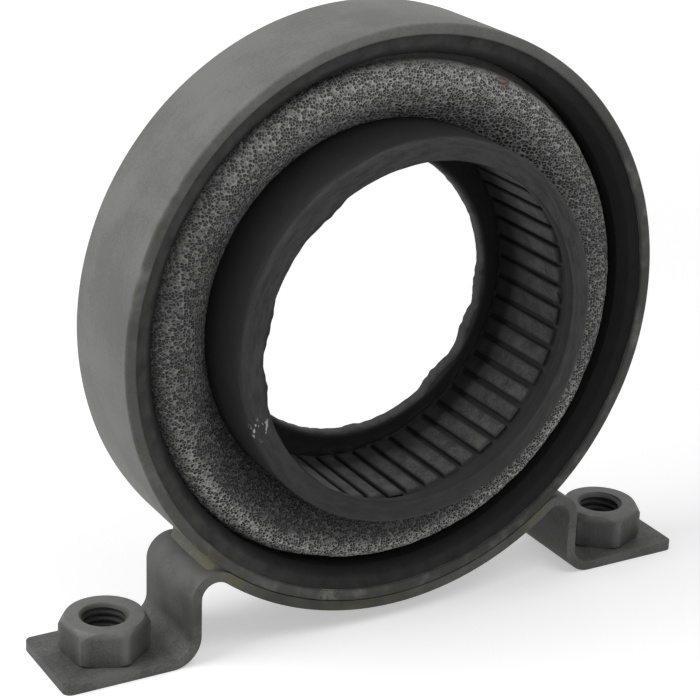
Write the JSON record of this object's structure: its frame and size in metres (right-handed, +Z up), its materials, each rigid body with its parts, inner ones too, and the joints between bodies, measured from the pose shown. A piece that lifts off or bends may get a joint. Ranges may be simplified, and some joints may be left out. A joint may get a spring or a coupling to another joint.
{
  "type": "driveshaft centre bearing mount",
  "caption": "Steel band on a bent foot strap, with a ribbed rubber sleeve in a sponge rubber ring that holds a driveshaft's centre bearing.",
  "frame": {"origin": "midway between the two bolts, on the underside of the feet", "axes": "+X across the two feet to the right, +Y along the shaft away from the sleeve's proud front end, +Z up from the feet"},
  "size_m": [0.175, 0.043, 0.1505],
  "materials": {
    "band_steel": "matt grey phosphate",
    "liner_rubber": "matt",
    "sponge_rubber": "open cells, matt",
    "sleeve_rubber": "matt moulded",
    "strap_steel": "matt grey phosphate",
    "nut_steel": "matt grey phosphate",
    "weld_metal": "as welded, dull olive tint"
  },
  "bodies": {
    "root": {"outer_ring": "band_steel", "rubber_liner": "liner_rubber", "foam_ring": "sponge_rubber", "bearing_sleeve": "sleeve_rubber", "foot_strap": "strap_steel", "left_weld_nut": "nut_steel", "right_weld_nut": "nut_steel", "strap_welds": "weld_metal"}
  },
  "joints": []
}
